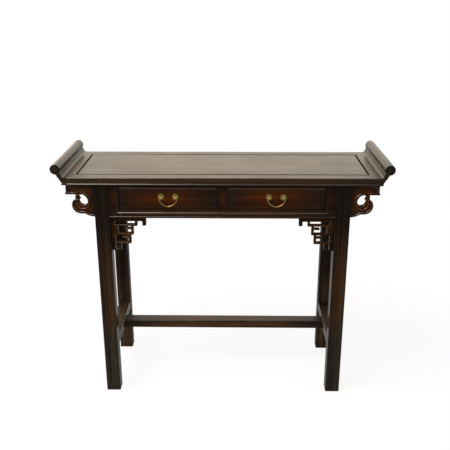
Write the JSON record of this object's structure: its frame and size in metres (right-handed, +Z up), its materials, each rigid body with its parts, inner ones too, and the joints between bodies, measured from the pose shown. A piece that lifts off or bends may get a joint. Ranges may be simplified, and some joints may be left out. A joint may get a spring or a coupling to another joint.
{
  "type": "chinese altar table",
  "caption": "Narrow framed console table with upturned scroll ends, cloud-scroll spandrels, key-fret brackets, stretchers and small drawers with hanging bail pulls.",
  "frame": {"origin": "on the floor under the middle of the table", "axes": "+X to the right along the table, +Y to the back, +Z up; the drawers face -Y"},
  "size_m": [1.148, 0.3743, 0.875],
  "materials": {
    "lacquered_rosewood": "dark red-brown rosewood under polished lacquer",
    "inner_wood": "plain unpolished hardwood",
    "antique_brass": "aged brass, rubbed bright where hands touch it"
  },
  "bodies": {
    "frame": {"top_rail_front": "lacquered_rosewood", "top_rail_rear": "lacquered_rosewood", "top_end_rail_left": "lacquered_rosewood", "top_end_rail_right": "lacquered_rosewood", "top_panel": "lacquered_rosewood", "top_batten_left": "inner_wood", "top_batten_right": "inner_wood", "end_flange_left": "lacquered_rosewood", "end_flange_right": "lacquered_rosewood", "leg_front_left": "lacquered_rosewood", "leg_front_right": "lacquered_rosewood", "leg_rear_left": "lacquered_rosewood", "leg_rear_right": "lacquered_rosewood", "stretcher_side_left": "lacquered_rosewood", "stretcher_side_right": "lacquered_rosewood", "stretcher_centre": "lacquered_rosewood", "spandrel_front_left": "lacquered_rosewood", "spandrel_front_right": "lacquered_rosewood", "spandrel_rear_left": "lacquered_rosewood", "spandrel_rear_right": "lacquered_rosewood", "apron_left": "lacquered_rosewood", "apron_right": "lacquered_rosewood", "case_rail_bottom": "lacquered_rosewood", "case_rail_top": "lacquered_rosewood", "case_stile_left": "lacquered_rosewood", "case_stile_right": "lacquered_rosewood", "case_divider": "lacquered_rosewood", "case_side_left": "lacquered_rosewood", "case_side_right": "lacquered_rosewood", "case_back": "lacquered_rosewood", "runner_left": "inner_wood", "runner_centre": "inner_wood", "runner_right": "inner_wood", "guide_left": "inner_wood", "guide_centre": "inner_wood", "guide_right": "inner_wood", "kicker_centre": "inner_wood", "drawer_stops": "inner_wood", "fret_front_left": "lacquered_rosewood", "fret_front_right": "lacquered_rosewood", "fret_rear_left": "lacquered_rosewood", "fret_rear_right": "lacquered_rosewood"},
    "drawer_left": {"drawer_left_front": "lacquered_rosewood", "drawer_left_side_left": "inner_wood", "drawer_left_side_right": "inner_wood", "drawer_left_back": "inner_wood", "drawer_left_bottom": "inner_wood", "pull_left_rosettes": "antique_brass", "pull_left_posts": "antique_brass", "pull_left_nuts": "antique_brass"},
    "drawer_right": {"drawer_right_front": "lacquered_rosewood", "drawer_right_side_left": "inner_wood", "drawer_right_side_right": "inner_wood", "drawer_right_back": "inner_wood", "drawer_right_bottom": "inner_wood", "pull_right_rosettes": "antique_brass", "pull_right_posts": "antique_brass", "pull_right_nuts": "antique_brass"},
    "bail_left": {"pull_left_bail": "antique_brass"},
    "bail_right": {"pull_right_bail": "antique_brass"}
  },
  "joints": [
    {"name": "drawer_left_slide", "type": "slide", "parent": "frame", "child": "drawer_left", "axis": [0, -1, 0], "range_m": [0, 0.24]},
    {"name": "drawer_right_slide", "type": "slide", "parent": "frame", "child": "drawer_right", "axis": [0, -1, 0], "range_m": [0, 0.24]},
    {"name": "bail_left_swing", "type": "hinge", "parent": "drawer_left", "child": "bail_left", "pos_m": [-0.1825, -0.186, 0.762], "axis": [-1, 0, 0], "range_deg": [-10, 90]},
    {"name": "bail_right_swing", "type": "hinge", "parent": "drawer_right", "child": "bail_right", "pos_m": [0.1825, -0.186, 0.762], "axis": [-1, 0, 0], "range_deg": [-10, 90]}
  ]
}
